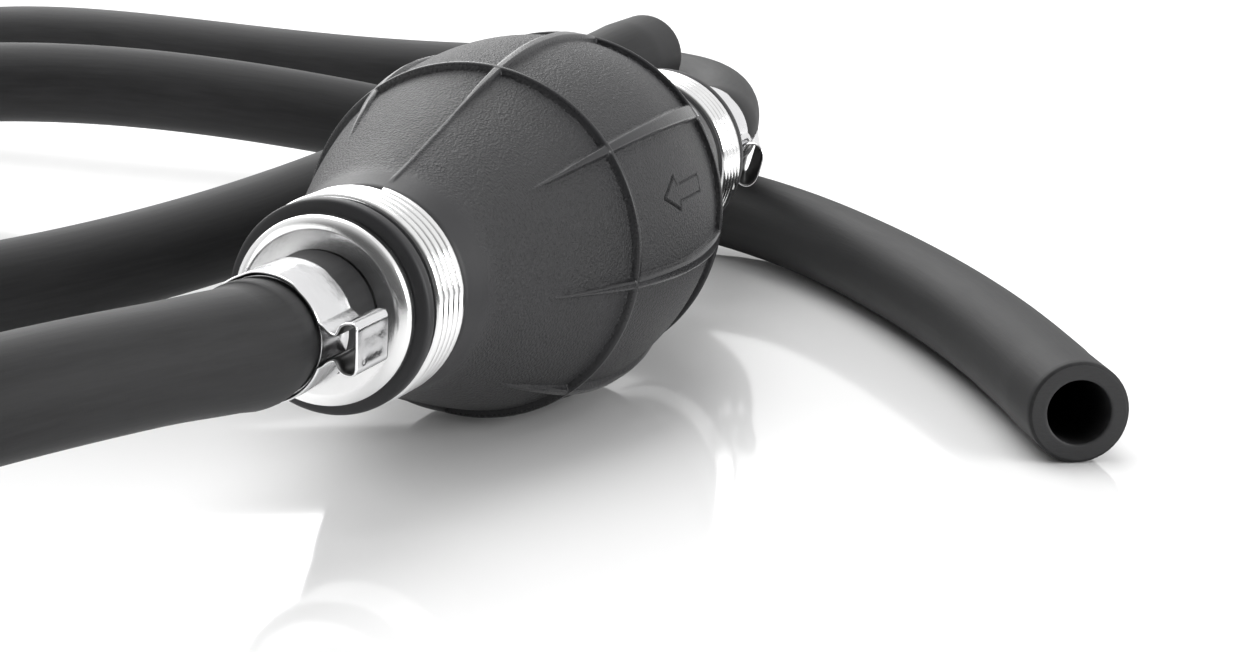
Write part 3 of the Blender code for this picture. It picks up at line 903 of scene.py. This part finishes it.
def flag_black():
    """Black card that is clear from below."""
    material = new_material("flag_black", (0.01, 0.01, 0.01), 0.9, specular=0.0)
    weave = noise(material, object_place(material), 400.0)
    connect(material, "Base Color", mix_colour(material, weave, (0.008, 0.008, 0.008), (0.012, 0.012, 0.012)))
    nodes = material.node_tree.nodes
    clear = nodes.new("ShaderNodeBsdfTransparent")
    sided = nodes.new("ShaderNodeMixShader")
    link(material, nodes.new("ShaderNodeNewGeometry").outputs["Backfacing"], sided.inputs[0])
    link(material, nodes["Principled BSDF"].outputs[0], sided.inputs[1])
    link(material, clear.outputs[0], sided.inputs[2])
    link(material, sided.outputs[0], nodes["Material Output"].inputs["Surface"])
    return material


def add_flag():
    """A black card on the floor between the object and the camera, which only gloss above it sees."""
    flag = add_sheet("flag", (-1.6, -0.9), (-0.26, 0.9), 0.001, flag_black())
    flag.visible_camera = False
    flag.visible_diffuse = False
    flag.visible_transmission = False
    flag.visible_shadow = False


def add_area_light(name, place, target, size, power):
    data = bpy.data.lights.new(name, "AREA")
    data.shape = "RECTANGLE"
    data.size, data.size_y = size
    data.energy = power
    light = bpy.data.objects.new(name, data)
    bpy.context.scene.collection.objects.link(light)
    light.location = place
    light.rotation_euler = (Vector(target) - Vector(place)).to_track_quat("-Z", "Y").to_euler()


BRIGHT_SIDE = (1.0, 0.1, 0.3)  # direction of the surround's bright side, away from the camera


def add_world():
    """A white surround that is dim behind the camera. The camera itself sees it at full strength."""
    world = bpy.data.worlds.new("studio")
    bpy.context.scene.world = world
    world.use_nodes = True
    tree = world.node_tree
    background = tree.nodes["Background"]
    place = tree.nodes.new("ShaderNodeTexCoord")
    away = tree.nodes.new("ShaderNodeVectorMath")
    away.operation = "DOT_PRODUCT"
    away.inputs[1].default_value = BRIGHT_SIDE
    tree.links.new(place.outputs["Generated"], away.inputs[0])
    ramp = tree.nodes.new("ShaderNodeMapRange")
    ramp.interpolation_type = "SMOOTHSTEP"
    for name, value in (("From Min", -0.8), ("From Max", 0.15), ("To Min", 0.12), ("To Max", 1.0)):
        ramp.inputs[name].default_value = value
    tree.links.new(away.outputs["Value"], ramp.inputs[0])
    rays = tree.nodes.new("ShaderNodeLightPath")
    shown = tree.nodes.new("ShaderNodeMath")
    shown.operation = "MAXIMUM"
    tree.links.new(ramp.outputs[0], shown.inputs[0])
    tree.links.new(rays.outputs["Is Camera Ray"], shown.inputs[1])
    tree.links.new(shown.outputs[0], background.inputs["Strength"])
    background.inputs["Color"].default_value = (1.0, 1.0, 1.0, 1.0)


add_floor()
add_world()
add_area_light("top_softbox", (0.25, 0.25, 0.9), (0.0, 0.0, 0.0), (0.9, 0.9), 7.5)
add_area_light("back_softbox", (0.9, 0.9, 0.7), (0.0, 0.0, 0.03), (1.2, 0.6), 8.0)
add_area_light("side_softbox", (-0.1, -1.1, 0.35), (0.0, 0.0, 0.03), (0.9, 0.5), 9.0)
add_area_light("front_softbox", (-0.9, 0.75, 0.3), (-0.07, 0.0, 0.03), (0.9, 0.6), 2.2)
add_flag()
bpy.context.scene.view_settings.view_transform = "Standard"
